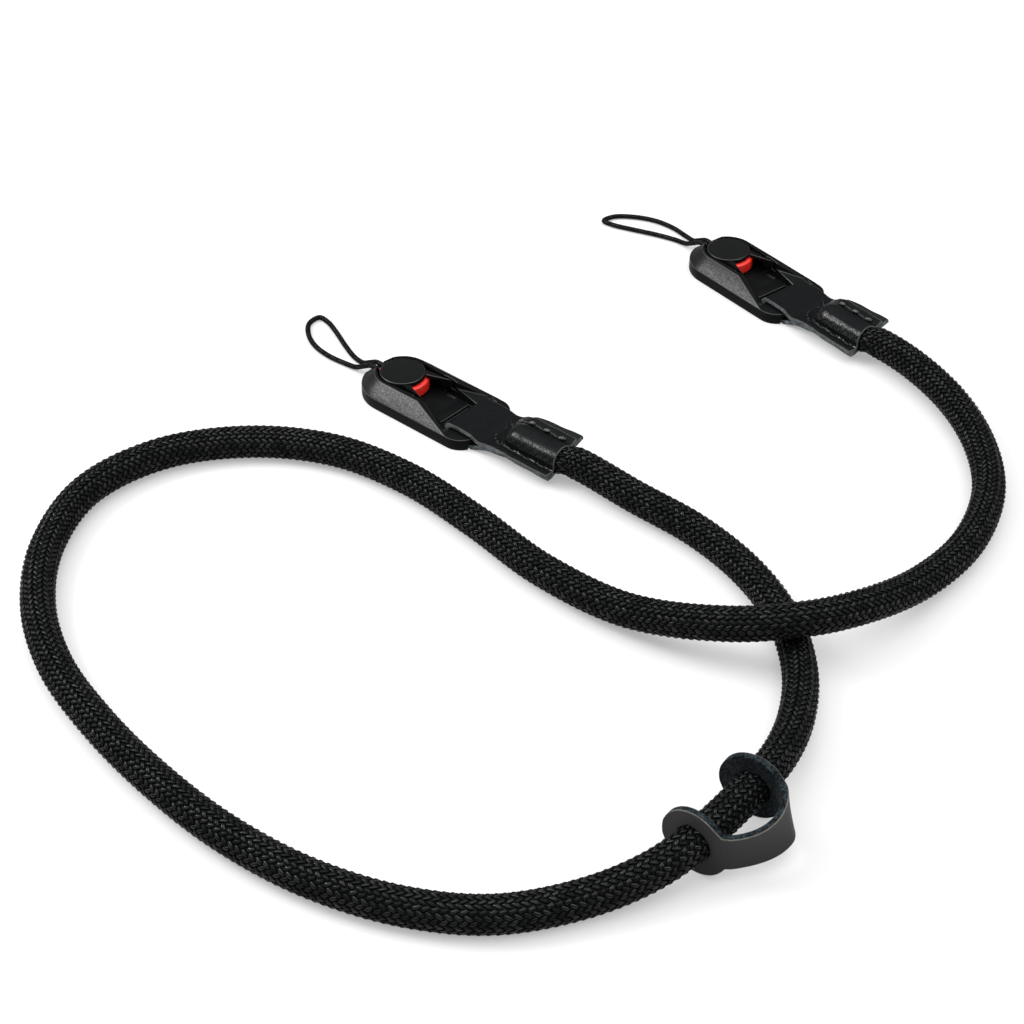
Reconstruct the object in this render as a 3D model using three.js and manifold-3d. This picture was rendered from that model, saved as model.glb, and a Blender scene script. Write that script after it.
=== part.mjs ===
// A braided rope camera strap, laid out on a flat surface.
//
// A stuffed, braided rope carries a leather tab at each end. Each tab is folded round
// the bar of a moulded quick-release housing, which holds a round anchor disc. A thin
// cord loop hangs from each anchor, and would be tied to a camera's strap lug. A leather
// keeper slides along the rope and sets the size of the loop.
//
// Millimetres, +Z up, the surface at z = 0. The origin is on the surface, under the
// middle of the box round the two quick-release connectors.

import * as THREE from 'three';
import { mergeVertices } from 'three/addons/utils/BufferGeometryUtils.js';
import Module from 'manifold-3d';

const wasm = await Module();
wasm.setup();

// ---- driving dimensions -------------------------------------------------------------

const GAP = 0.3;                 // clearance between neighbouring pieces

const ROPE_DIAMETER = 10.2;
const ROPE_IN_TAB = 17.7;        // length of rope sewn inside each leather tab
const TETHER_DIAMETER = 1.8;
const LEATHER = 1.7;             // thickness of the tab leather

// Each connector has its own frame: x runs from the anchor disc to the rope, y across,
// z up from its underside, and x = 0 is the axis of the disc.
const HOUSING_WIDTH = 27;
const HOUSING_END = 38.5;        // x of the end that carries the leather
const HOUSING_HEIGHT = 7.8;
const BAND_HEIGHT = 3.9;         // upright band round the foot, and height of the low end
const TOP_INSET = 4.4;           // how far the sloping sides lean in
const END_CORNER = 6.6;          // radius of the two corners of the low end
const CREST_END = 15;            // x where the top starts to fall towards the low end
const CREST_FOOT = 31;           // x where it has fallen to the height of the band

const FLOOR_TOP = 2.0;           // floor of the disc pocket and the channel
const LEDGE_TOP = 0.9;           // step below the end of the channel floor
const LIP_UNDERSIDE = 6.5;       // the lips over the disc reach from here to the top
const POCKET_RADIUS = 9.2;
const CAP_HOLE_RADIUS = 7.85;
const LIP = { x: 6.9, half: 3.8 };          // inner corners of the two lips
const CHANNEL = { end: 29, foot: 7.6, top: 11.9 };   // half widths of the open channel
const TONGUE_END = 23.2;         // end of the springy tongue in the channel floor
const SLOT = { start: 25, narrow: 7.4, step: 26.7, wide: 9.9, end: 29 };
const NOTCH = { half: 4.0, sill: 3.4, inner: -6 };
const BAR_UNDERSIDE = 2.0;       // recess under the bar, where the leather passes

const ANCHOR = { radius: 8.9, bottom: 2.3, top: 6.2, edge: 0.5 };
const CAP = { radius: 7.5, bottom: 6.5, top: 8.1, edge: 0.4 };

// Folded leather: from the rope it runs under the bar, up the slot and back over the bar.
const STRAP = { fold: 27, half: 9.2, over: 5.9, meet: 41.4, pad: 42 };
const TAB = { end: 70, half: 8.2, swellFrom: 44, swellTo: 51, lean: 30, leanFrom: 46, leanTo: 58 };

// Leather keeper: a strip with a round lobe at each end, the rope through both lobes.
const KEEPER = {
  thickness: 2,
  lobe: 9.8,                     // radius of each lobe, which stands on the surface
  half: 5.25,                    // half width of the strip between the lobes
  rise: 0.95,                    // how far that strip's middle lies above the holes
  hole: 5.7,                     // radius of the holes for the rope
  crease: 7.6,                   // distance from the rope's centre to the fold
  ease: 2.4,                     // length of strip that each fold takes on either side
  swing: 54,                     // half the angle of the bowed strip, in degrees
  lower: { at: 9, heading: -40 },            // route point, and the way the lobe faces
  upper: { at: 8, heading: 146 },
};

// Where the rope leaves each tab, and the way that the connector's own x points.
const CONNECTORS = [
  { side: 'left', mouth: [-22.2, -64.2], heading: -41.5 },
  { side: 'right', mouth: [80.3, 3.0], heading: -52 },
];

const ropeRadius = ROPE_DIAMETER / 2;
const boreRadius = ropeRadius + GAP;
const swellRadius = boreRadius + LEATHER;      // outside of the leather over the rope
const ropeInTabHeight = swellRadius;

// The rope's way over the surface, from the left tab to the right one: x, y and the
// height of its centre. It rises to pass through the keeper and to cross over itself.
const ROPE_ROUTE = [
  [-22.2, -64.2, 7.1], [-1.7, -82.3, 6.0], [16.1, -98.2, 5.3], [29.7, -117.4, 5.25],
  [38.1, -138.7, 5.25], [40.4, -160.7, 5.35], [37.0, -181.7, 7.0], [31.1, -197.2, 9.0],
  [23.3, -209.3, 9.8], [7.0, -228.9, 9.8], [-4.3, -237.1, 7.7], [-20.5, -244.0, 5.6],
  [-42.9, -249.2, 5.25], [-65.3, -246.7, 5.25], [-89.3, -237.2, 5.25],
  [-111.8, -222.0, 5.25], [-132.3, -202.5, 5.25], [-150.6, -180.7, 5.25],
  [-165.6, -157.4, 5.25], [-174.6, -131.7, 5.25], [-176.1, -103.7, 5.25],
  [-167.9, -77.0, 5.25], [-147.8, -59.2, 5.25], [-120.9, -53.0, 5.25],
  [-94.8, -57.4, 5.25], [-71.1, -72.1, 5.25], [-50.2, -93.2, 5.25],
  [-29.9, -116.8, 5.4], [-5.8, -137.0, 7.2], [20.7, -150.1, 13.6], [39.2, -151.4, 16.0],
  [56.8, -143.1, 13.0], [78.5, -124.8, 7.2], [96.0, -103.7, 5.45], [106.3, -78.2, 5.25],
  [107.3, -53.0, 5.3], [101.9, -30.5, 6.0], [92.1, -11.5, 6.7], [80.3, 3.0, 7.1],
];

// ---- solids -------------------------------------------------------------------------

function toSolid(geometry) {
  const bare = geometry.clone();
  bare.deleteAttribute('normal');
  bare.deleteAttribute('uv');
  const merged = mergeVertices(bare, 1e-4);
  return new wasm.Manifold(new wasm.Mesh({
    numProp: 3,
    vertProperties: new Float32Array(merged.attributes.position.array),
    triVerts: new Uint32Array(merged.index.array),
  }));
}

function toGeometry(solid) {
  const mesh = solid.getMesh();
  const geometry = new THREE.BufferGeometry();
  geometry.setAttribute('position', new THREE.BufferAttribute(mesh.vertProperties, 3));
  geometry.setIndex(new THREE.BufferAttribute(mesh.triVerts, 1));
  return geometry;
}

// A box between two corners.
function block(low, high) {
  const size = high.map((value, i) => value - low[i]);
  const geometry = new THREE.BoxGeometry(...size);
  geometry.translate(...low.map((value, i) => value + size[i] / 2));
  return toSolid(geometry);
}

// A round disc or hole on the z axis.
function disc(radius, bottom, top, sides = 48) {
  const geometry = new THREE.CylinderGeometry(radius, radius, top - bottom, sides);
  geometry.rotateX(Math.PI / 2);
  geometry.translate(0, 0, (bottom + top) / 2);
  return toSolid(geometry);
}

// A solid between rings of equal point counts, each ring a list of [x, y, z].
function loft(rings) {
  const count = rings[0].length;
  const middle = (ring) => [0, 1, 2].map(
    (i) => ring.reduce((sum, point) => sum + point[i], 0) / count);
  const points = [...rings.flat(), middle(rings[0]), middle(rings.at(-1))];
  const first = points.length - 2;
  const last = points.length - 1;
  const triangles = [];
  for (let i = 0; i < count; i += 1) {
    const next = (i + 1) % count;
    for (let ring = 0; ring < rings.length - 1; ring += 1) {
      const a = ring * count;
      const b = a + count;
      triangles.push(a + i, a + next, b + next, a + i, b + next, b + i);
    }
    const top = (rings.length - 1) * count;
    triangles.push(first, next, i, last, top + i, top + next);
  }
  const geometry = new THREE.BufferGeometry();
  geometry.setAttribute('position', new THREE.Float32BufferAttribute(points.flat(), 3));
  geometry.setIndex(triangles);
  return geometry;
}

// A flat outline in x and z, extruded across y to both sides of the middle.
function slabAcross(outline, half) {
  const shape = new THREE.Shape(outline.map(([x, z]) => new THREE.Vector2(x, z)));
  const geometry = new THREE.ExtrudeGeometry(shape, { depth: 2 * half, bevelEnabled: false });
  geometry.rotateX(Math.PI / 2);
  geometry.translate(0, half, 0);
  return toSolid(geometry);
}

// ---- quick-release housing ----------------------------------------------------------

// Outline of the housing, leaning in by inset: a half circle round the disc, straight
// sides and a low end with two round corners.
function housingRing(inset, z) {
  const half = HOUSING_WIDTH / 2 - inset;
  const corner = END_CORNER - inset;
  const cornerX = HOUSING_END - END_CORNER;
  const cornerY = HOUSING_WIDTH / 2 - END_CORNER;
  const ring = [];
  for (let i = 0; i <= 8; i += 1) {
    const angle = -Math.PI / 2 + (i / 8) * (Math.PI / 2);
    ring.push([cornerX + corner * Math.cos(angle), -cornerY + corner * Math.sin(angle), z]);
  }
  for (let i = 0; i <= 8; i += 1) {
    const angle = (i / 8) * (Math.PI / 2);
    ring.push([cornerX + corner * Math.cos(angle), cornerY + corner * Math.sin(angle), z]);
  }
  for (let i = 0; i <= 24; i += 1) {
    const angle = Math.PI / 2 + (i / 24) * Math.PI;
    ring.push([half * Math.cos(angle), half * Math.sin(angle), z]);
  }
  return ring;
}

// The open channel: its foot is straight, and its upper edges spread from the lips.
function channelCut() {
  const over = HOUSING_HEIGHT + 1;
  const spread = (CHANNEL.top - LIP.half) / (CHANNEL.end - LIP.x);
  const section = (x) => {
    const top = LIP.half + spread * (x - LIP.x);
    const foot = Math.min(CHANNEL.foot, top + 3);
    return [[x, -foot, FLOOR_TOP], [x, foot, FLOOR_TOP], [x, top, BAND_HEIGHT + 1],
      [x, top, over], [x, -top, over], [x, -top, BAND_HEIGHT + 1]];
  };
  return toSolid(loft([section(LIP.x - 2), section(LIP.x), section(15), section(CHANNEL.end)]));
}

function housing() {
  const high = HOUSING_HEIGHT + 5;
  const wide = HOUSING_WIDTH;
  let solid = toSolid(loft([
    housingRing(0, 0), housingRing(0, BAND_HEIGHT), housingRing(TOP_INSET, HOUSING_HEIGHT)]));
  const cuts = [
    slabAcross([[CREST_END, HOUSING_HEIGHT], [CREST_FOOT, BAND_HEIGHT],
      [HOUSING_END + 5, BAND_HEIGHT], [HOUSING_END + 5, high], [CREST_END, high]], wide),
    disc(POCKET_RADIUS, FLOOR_TOP, LIP_UNDERSIDE),
    disc(CAP_HOLE_RADIUS, FLOOR_TOP, high),
    block([0, -POCKET_RADIUS + 0.4, FLOOR_TOP], [12, POCKET_RADIUS - 0.4, LIP_UNDERSIDE]),
    channelCut(),
    block([CHANNEL.end - 0.01, -CHANNEL.top, BAND_HEIGHT], [CREST_FOOT + 1, CHANNEL.top, high]),
    block([TONGUE_END, -SLOT.narrow, LEDGE_TOP], [SLOT.end, SLOT.narrow, high]),
    block([SLOT.start, -SLOT.narrow, -1], [SLOT.end, SLOT.narrow, high]),
    block([SLOT.step, -SLOT.wide, -1], [SLOT.end, SLOT.wide, high]),
    block([SLOT.end - 1, -SLOT.wide, -1], [HOUSING_END + 1, SLOT.wide, BAR_UNDERSIDE]),
    block([-wide, -NOTCH.half, NOTCH.sill], [NOTCH.inner, NOTCH.half, high]),
  ];
  for (const cut of cuts) solid = solid.subtract(cut);
  return toGeometry(solid);
}

// ---- anchor disc --------------------------------------------------------------------

// A round disc turned from its radius, with both edges eased.
function easedDisc({ radius, bottom, top, edge }) {
  const profile = [[0, bottom], [radius - edge, bottom], [radius, bottom + edge],
    [radius, top - edge], [radius - edge, top], [0, top]];
  const geometry = new THREE.LatheGeometry(
    profile.map(([r, z]) => new THREE.Vector2(r, z)), 48);
  geometry.rotateX(Math.PI / 2);
  return toGeometry(toSolid(geometry));
}

// ---- folded leather tab -------------------------------------------------------------

// The strap in profile: a loop of leather round the bar, closed where the layers meet.
function foldedStrap() {
  const { fold, over, meet, pad } = STRAP;
  const barTop = BAND_HEIGHT + GAP;
  const barSide = SLOT.end - GAP;
  const outside = [[fold + 1, 0], [pad + 1.5, 0], [pad + 1.5, 2 * LEATHER],
    [meet + 0.8, 2 * LEATHER + 0.3], [HOUSING_END + 2.1, over - 0.9],
    [HOUSING_END + 0.8, over - 0.15], [HOUSING_END - 1, over], [fold + 2, over],
    [fold + 0.6, over - 0.5], [fold, over - 1.8], [fold, 1]];
  const inside = [[barSide, LEATHER], [meet, LEATHER], [HOUSING_END + 0.7, barTop],
    [barSide, barTop]];
  return slabAcross(outside, STRAP.half).subtract(slabAcross(inside, STRAP.half + 1));
}

// Section of the sewn pad at x: two layers with a flat flange at each side, swelling
// above and below round the end of the rope. It leans over to its near side, until that
// flange is just above the surface.
function padSection(x) {
  const along = THREE.MathUtils.clamp((x - STRAP.pad) / (TAB.end - STRAP.pad), 0, 1);
  const half = STRAP.half + (TAB.half - STRAP.half) * along;
  const swell = THREE.MathUtils.smoothstep(x, TAB.swellFrom, TAB.swellTo);
  const middle = LEATHER + swell * (ropeInTabHeight - LEATHER);
  const lean = THREE.MathUtils.degToRad(TAB.lean)
    * THREE.MathUtils.smoothstep(x, TAB.leanFrom, TAB.leanTo);
  const steps = [-1, -0.88, -0.82, -0.72, -0.54, -0.3, 0, 0.3, 0.54, 0.72, 0.82, 0.88, 1];
  const across = steps.map((share) => share * (Math.abs(share) < 1 ? TAB.half : half));
  const height = (y) => {
    const round = Math.sqrt(Math.max(swellRadius ** 2 - y ** 2, 0));
    return LEATHER + swell * Math.max(round - LEATHER, 0);
  };
  const top = across.map((y) => [x, y, middle + height(y)]);
  const under = across.map((y) => [x, y, middle - height(y)]);
  const leaned = ([, y, z]) => [x,
    y * Math.cos(lean) - (z - middle) * Math.sin(lean),
    middle + y * Math.sin(lean) + (z - middle) * Math.cos(lean)];
  return [...under, ...top.reverse()].map(leaned);
}

function leatherTab() {
  const stations = [STRAP.pad, TAB.swellFrom, 45.5, 47, 48.5, 49.7, TAB.swellTo, 54,
    TAB.leanTo, 64, TAB.end];
  const pad = toSolid(loft(stations.map(padSection)));
  const bore = new THREE.CylinderGeometry(boreRadius, boreRadius, ROPE_IN_TAB + 1.3, 24);
  bore.rotateZ(Math.PI / 2);
  bore.translate(TAB.end + 0.5 - ROPE_IN_TAB / 2, 0, ropeInTabHeight);
  return toGeometry(foldedStrap().add(pad).subtract(toSolid(bore)));
}

// ---- cords --------------------------------------------------------------------------

// A cord of a regular section along a smooth curve through its points.
function cord(points, diameter, sides, steps) {
  const path = new THREE.CatmullRomCurve3(points, false, 'centripetal');
  const section = new THREE.Shape(Array.from({ length: sides }, (_, i) => {
    const angle = (2 * Math.PI * i) / sides;
    return new THREE.Vector2(Math.cos(angle), Math.sin(angle)).multiplyScalar(diameter / 2);
  }));
  const geometry = new THREE.ExtrudeGeometry(section, { steps, extrudePath: path });
  return toGeometry(toSolid(geometry));
}

const toVectors = (rows) => rows.map((row) => new THREE.Vector3(...row));

// A point inside a tab, a given way back from its mouth.
function inTab({ mouth, heading }, back) {
  const angle = THREE.MathUtils.degToRad(heading);
  return new THREE.Vector3(
    mouth[0] - back * Math.cos(angle), mouth[1] - back * Math.sin(angle), ropeInTabHeight);
}

function rope() {
  const points = [inTab(CONNECTORS[0], ROPE_IN_TAB), ...toVectors(ROPE_ROUTE),
    inTab(CONNECTORS[1], ROPE_IN_TAB)];
  return cord(points, ROPE_DIAMETER, 12, 80);
}

// The tether, in the connector's frame: out of the notch, down to the surface, round a
// long narrow loop and back to the disc.
function tether(bend) {
  const start = -(ANCHOR.radius + GAP);
  const low = TETHER_DIAMETER / 2 + 0.1;
  const half = [
    [start, 1.3, 4.7], [-13, 1.35, 4.9], [-16.5, 1.5, 3.2], [-20, 1.7, 1.4],
    [-25, 2.4, low], [-32, 4.0, low], [-40, 5.2, low], [-47, 4.6, low], [-51, 2.3, low],
  ];
  const sway = (x) => bend * Math.max(-x - 20, 0) ** 2 / 400;
  const there = half.map(([x, y, z]) => [x, y + sway(x), z]);
  const back = half.map(([x, y, z]) => [x, -y + sway(x), z]).reverse();
  return cord(toVectors([...there, ...back]), TETHER_DIAMETER, 8, 56);
}

// ---- keeper -------------------------------------------------------------------------

// The strip seen from above: straight through one lobe, round a fold, out in a bow,
// round the other fold and straight through the second lobe.
function keeperPath() {
  const way = (heading) => {
    const angle = THREE.MathUtils.degToRad(heading);
    return new THREE.Vector2(Math.cos(angle), Math.sin(angle));
  };
  const from = ({ at }) => new THREE.Vector2(ROPE_ROUTE[at][0], ROPE_ROUTE[at][1]);
  const { lower, upper, lobe, crease, ease } = KEEPER;
  const swing = THREE.MathUtils.degToRad(KEEPER.swing);
  const lowerWay = way(lower.heading);
  const upperWay = way(upper.heading);
  const start = from(lower).addScaledVector(lowerWay, -lobe);
  const foldA = from(lower).addScaledVector(lowerWay, crease);
  const foldB = from(upper).addScaledVector(upperWay, -crease);
  const end = from(upper).addScaledVector(upperWay, lobe);

  const chord = foldB.clone().sub(foldA);
  const radius = chord.length() / (2 * Math.sin(swing));
  const middle = foldA.clone().addScaledVector(chord, 0.5);
  const inward = new THREE.Vector2(-chord.y, chord.x).normalize();
  const centre = middle.addScaledVector(inward, radius * Math.cos(swing));
  const out = Math.atan2(foldA.y - centre.y, foldA.x - centre.x);
  const trim = ease / radius;
  const onBow = (angle) => new THREE.Vector2(Math.cos(angle), Math.sin(angle))
    .multiplyScalar(radius).add(centre);
  const bowStart = onBow(out + trim);

  const path = new THREE.Path([start]);
  const easeIn = foldA.clone().addScaledVector(lowerWay, -ease);
  path.lineTo(easeIn.x, easeIn.y);
  path.quadraticCurveTo(foldA.x, foldA.y, bowStart.x, bowStart.y);
  path.absarc(centre.x, centre.y, radius, out + trim, out + 2 * swing - trim, false);
  const easeOut = foldB.clone().addScaledVector(upperWay, ease);
  path.quadraticCurveTo(foldB.x, foldB.y, easeOut.x, easeOut.y);
  path.lineTo(end.x, end.y);
  return path;
}

function keeper() {
  const path = keeperPath();
  const length = path.getLength();
  const height = ROPE_ROUTE[KEEPER.lower.at][2];
  const steps = 60;
  // How far the strip reaches below (-1) or above (1) the holes, s along it.
  const reach = (s, way) => {
    const fromLobe = Math.min(Math.abs(s - KEEPER.lobe), Math.abs(length - KEEPER.lobe - s));
    const round = Math.sqrt(Math.max(KEEPER.lobe ** 2 - fromLobe ** 2, 0));
    const between = s > KEEPER.lobe && s < length - KEEPER.lobe;
    return Math.max(round, between ? KEEPER.half + way * KEEPER.rise : 1);
  };
  const sections = Array.from({ length: steps + 1 }, (_, i) => {
    const at = path.getPointAt(i / steps);
    const way = path.getTangentAt(i / steps);
    const side = new THREE.Vector2(-way.y, way.x).multiplyScalar(KEEPER.thickness / 2);
    const low = height - reach((i / steps) * length, -1);
    const high = height + reach((i / steps) * length, 1);
    const corner = (sign, z) => [at.x + sign * side.x, at.y + sign * side.y, z];
    return [corner(-1, low), corner(1, low), corner(1, high), corner(-1, high)];
  });
  let solid = toSolid(loft(sections));
  for (const { at } of [KEEPER.lower, KEEPER.upper]) {
    const [before, here, after] = toVectors(ROPE_ROUTE.slice(at - 1, at + 2));
    const hole = new THREE.CylinderGeometry(KEEPER.hole, KEEPER.hole, 3 * KEEPER.thickness, 32);
    const turn = new THREE.Quaternion().setFromUnitVectors(
      new THREE.Vector3(0, 1, 0), after.sub(before).normalize());
    hole.applyQuaternion(turn);
    hole.translate(here.x, here.y, here.z);
    solid = solid.subtract(toSolid(hole));
  }
  return toGeometry(solid);
}

// ---- assembly -----------------------------------------------------------------------

const FINISH = {
  rope: { color: 0x101113, roughness: 0.85, metalness: 0 },
  tether: { color: 0x0b0b0c, roughness: 0.7, metalness: 0 },
  plastic: { color: 0x17181a, roughness: 0.5, metalness: 0 },
  red: { color: 0xc4231b, roughness: 0.45, metalness: 0 },
  leather: { color: 0x16181a, roughness: 0.45, metalness: 0 },
  keeper: { color: 0x232428, roughness: 0.55, metalness: 0 },
};

function piece(name, geometry, finish) {
  const mesh = new THREE.Mesh(geometry, new THREE.MeshStandardMaterial(FINISH[finish]));
  mesh.name = name;
  return mesh;
}

function connector({ side, mouth, heading }) {
  const angle = THREE.MathUtils.degToRad(heading);
  const frame = new THREE.Group();
  frame.rotation.z = angle;
  frame.position.set(
    mouth[0] - TAB.end * Math.cos(angle), mouth[1] - TAB.end * Math.sin(angle), 0);
  frame.add(
    piece(`${side}_housing`, housing(), 'plastic'),
    piece(`${side}_anchor_disc`, easedDisc(ANCHOR), 'red'),
    piece(`${side}_anchor_cap`, easedDisc(CAP), 'plastic'),
    piece(`${side}_leather_tab`, leatherTab(), 'leather'),
    piece(`${side}_tether`, tether(side === 'left' ? 4 : -5), 'tether'),
  );
  return frame;
}

const group = new THREE.Group();
group.name = 'camera_strap';
group.add(
  ...CONNECTORS.map(connector),
  piece('rope', rope(), 'rope'),
  piece('keeper', keeper(), 'keeper'),
);

export default group;
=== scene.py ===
# A braided rope camera strap with leather tabs, quick-release connectors and a sliding
# leather keeper, lying on a white table. Sizes are in metres and angles in radians.
import math

import bmesh
import bpy
import numpy as np
from mathutils import Matrix, Vector


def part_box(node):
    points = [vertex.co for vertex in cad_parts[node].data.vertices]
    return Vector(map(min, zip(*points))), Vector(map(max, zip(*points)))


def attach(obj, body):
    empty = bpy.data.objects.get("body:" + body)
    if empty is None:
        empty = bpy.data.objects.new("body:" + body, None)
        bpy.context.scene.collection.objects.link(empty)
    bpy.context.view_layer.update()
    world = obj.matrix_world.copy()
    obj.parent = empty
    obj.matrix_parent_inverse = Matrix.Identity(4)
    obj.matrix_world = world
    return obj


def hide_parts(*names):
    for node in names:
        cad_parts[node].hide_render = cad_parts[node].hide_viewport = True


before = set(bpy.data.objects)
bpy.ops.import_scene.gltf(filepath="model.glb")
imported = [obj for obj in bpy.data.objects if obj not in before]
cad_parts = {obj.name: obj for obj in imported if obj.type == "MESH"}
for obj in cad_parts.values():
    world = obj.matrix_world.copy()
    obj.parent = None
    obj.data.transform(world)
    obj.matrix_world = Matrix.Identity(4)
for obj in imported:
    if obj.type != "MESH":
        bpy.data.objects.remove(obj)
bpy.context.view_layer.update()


# ---- Camera -------------------------------------------------------------------------
# It looks down on the table from the near side, from about three quarters of a metre.

camera_place = (-0.0390, -0.6216, 0.420)
camera_pitch = 0.6616             # how far it looks down
bpy.ops.object.camera_add(location=camera_place, rotation=(math.pi / 2 - camera_pitch, 0, 0))
camera = bpy.context.object
camera.data.lens = 78.84          # millimetres, as is the sensor's width
camera.data.sensor_width = 36
camera.data.clip_start = 0.01
bpy.context.scene.camera = camera


# ---- Rope ---------------------------------------------------------------------------
# The strap itself: a padded core under a braided nylon cover, sewn into a leather tab
# at each end. It lies on the table, rises through the keeper and crosses over itself.

rope_diameter = 0.0102
rope_in_tab = 0.0177
cover_in_tab = 0.004              # how far the cover reaches in, over the bare core
tab_bore_height = 0.0071          # of the rope's centre, where it leaves a tab
rope_route = [Vector(point) for point in (
    (-0.0222, -0.0642, tab_bore_height), (-0.0017, -0.0823, 0.0060),
    (0.0161, -0.0982, 0.0053), (0.0297, -0.1174, 0.00525), (0.0381, -0.1387, 0.00525),
    (0.0404, -0.1607, 0.00535), (0.0370, -0.1817, 0.0070), (0.0311, -0.1972, 0.0090),
    (0.0233, -0.2093, 0.0098),
    (0.0070, -0.2289, 0.0098), (-0.0043, -0.2371, 0.0077), (-0.0205, -0.2440, 0.0056),
    (-0.0429, -0.2492, 0.00525), (-0.0653, -0.2467, 0.00525), (-0.0893, -0.2372, 0.00525),
    (-0.1118, -0.2220, 0.00525), (-0.1323, -0.2025, 0.00525), (-0.1506, -0.1807, 0.00525),
    (-0.1656, -0.1574, 0.00525), (-0.1746, -0.1317, 0.00525), (-0.1761, -0.1037, 0.00525),
    (-0.1679, -0.0770, 0.00525), (-0.1478, -0.0592, 0.00525), (-0.1209, -0.0530, 0.00525),
    (-0.0948, -0.0574, 0.00525), (-0.0711, -0.0721, 0.00525), (-0.0502, -0.0932, 0.00525),
    (-0.0299, -0.1168, 0.0054), (-0.0058, -0.1370, 0.0072), (0.0207, -0.1501, 0.0136),
    (0.0392, -0.1514, 0.0160), (0.0568, -0.1431, 0.0130), (0.0785, -0.1248, 0.0072),
    (0.0960, -0.1037, 0.00545), (0.1063, -0.0782, 0.00525), (0.1073, -0.0530, 0.0053),
    (0.1019, -0.0305, 0.0060), (0.0921, -0.0115, 0.0067),
    (0.0803, 0.0030, tab_bore_height))]
mouths = {"left": rope_route[0], "right": rope_route[-1]}
headings = {"left": math.radians(-41.5), "right": math.radians(-52)}


def along(heading):
    """The way from a connector's anchor disc to its rope, as a unit vector."""
    return Vector((math.cos(heading), math.sin(heading), 0))


def aside(heading):
    """The way across a connector, to its far side, as a unit vector."""
    return Vector((-math.sin(heading), math.cos(heading), 0))


def cord_core(name, points, radius, squeezed=()):
    """A round cord through the points, as one Bezier spline with even, round bends. The
    points at its ends may be squeezed, each to a share of the radius."""
    data = bpy.data.curves.new(name, "CURVE")
    data.dimensions = "3D"
    data.resolution_u = 16
    data.bevel_depth = radius
    data.bevel_resolution = 4
    data.use_fill_caps = True
    spline = data.splines.new("BEZIER")
    spline.bezier_points.add(len(points) - 1)
    before = [2 * points[0] - points[1], *points[:-1]]
    after = [*points[1:], 2 * points[-1] - points[-2]]
    for knot, last, here, following in zip(spline.bezier_points, before, points, after):
        back = math.sqrt((here - last).length)
        ahead = math.sqrt((following - here).length)
        speed = ((here - last) / back - (following - last) / (back + ahead)
                 + (following - here) / ahead)
        knot.co = here
        knot.handle_left = here - speed * back / 3
        knot.handle_right = here + speed * ahead / 3
    for place, share in enumerate(squeezed):
        spline.bezier_points[place].radius = spline.bezier_points[-1 - place].radius = share
    core = bpy.data.objects.new(name, data)
    bpy.context.scene.collection.objects.link(core)
    return core


def activate(piece):
    """Selects one piece alone, for the operators that act on what is selected."""
    bpy.ops.object.select_all(action="DESELECT")
    piece.select_set(True)
    bpy.context.view_layer.objects.active = piece


def apply_modifiers(piece):
    activate(piece)
    for modifier in list(piece.modifiers):
        bpy.ops.object.modifier_apply(modifier=modifier.name)


def keep_places(piece, places):
    """Keeps a place for each point in the mesh, for patterns that lie along the piece."""
    own = piece.data.attributes.new("own_place", "FLOAT_VECTOR", "POINT")
    own.data.foreach_set("vector", np.ravel(places))


def cover(piece, *materials):
    for material in materials:
        piece.data.materials.append(material)


def braid_yarns(name, core, radius, ribs, turn, start, stop, hand, sides, rings):
    """One lay of a braided cover. Each pair of yarns shows as short raised floats, side by
    side in ribs along the cord, and dips at both ends under the ribs of the other lay. hand
    is 1 or -1, ribs is for one lay, and turn is the way along the cord of one full turn.
    sides and rings are those of the sphere that each float is made from. Each float draws a
    tone of its own."""
    rib_width = math.pi * radius / ribs
    pitch = turn / (2 * ribs)
    slant = math.atan2(rib_width, pitch) * hand
    half_length = 0.58 * math.hypot(rib_width, pitch)
    half_width = 0.57 * pitch * math.sin(abs(slant))
    half_height = 0.085 * radius
    dip = 0.085 * radius
    phase = start + pitch * (0.25 if hand > 0 else 0.75)
    rib_angle = 0 if hand > 0 else math.pi / ribs

    bpy.ops.object.select_all(action="DESELECT")
    bpy.ops.mesh.primitive_uv_sphere_add(segments=sides, ring_count=rings, radius=1)
    yarns = bpy.context.object
    yarns.name = name
    keep_places(yarns, [vertex.co[:] for vertex in yarns.data.vertices])
    for vertex in yarns.data.vertices:
        outward, across, lengthwise = vertex.co
        reach = lengthwise * half_length
        side = across * half_width
        height = radius + half_height * (outward - 1) - dip * abs(lengthwise) ** 2.5
        angle = (reach * math.sin(slant) + side * math.cos(slant)) / radius + rib_angle
        vertex.co = (phase + reach * math.cos(slant) - side * math.sin(slant),
                     height * math.cos(angle), height * math.sin(angle))
    bpy.ops.object.shade_smooth()

    bpy.ops.object.empty_add(rotation=(2 * math.pi / ribs, 0, 0))
    next_rib = bpy.context.object
    around = yarns.modifiers.new("around", "ARRAY")
    around.count = ribs
    around.use_relative_offset = False
    around.use_object_offset = True
    around.offset_object = next_rib
    lengthways = yarns.modifiers.new("lengthways", "ARRAY")
    lengthways.count = int((stop - start) / pitch)
    lengthways.use_relative_offset = False
    lengthways.use_constant_offset = True
    lengthways.constant_offset_displace = (pitch, 0, 0)
    follow = yarns.modifiers.new("follow", "CURVE")
    follow.object = core
    corners = len(yarns.data.vertices)
    apply_modifiers(yarns)
    bpy.data.objects.remove(next_rib)
    drawn = np.random.default_rng(1 + hand).random(len(yarns.data.vertices) // corners)
    tone = yarns.data.attributes.new("own_tone", "FLOAT", "POINT")
    tone.data.foreach_set("value", np.repeat(drawn, corners))
    return yarns


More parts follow.
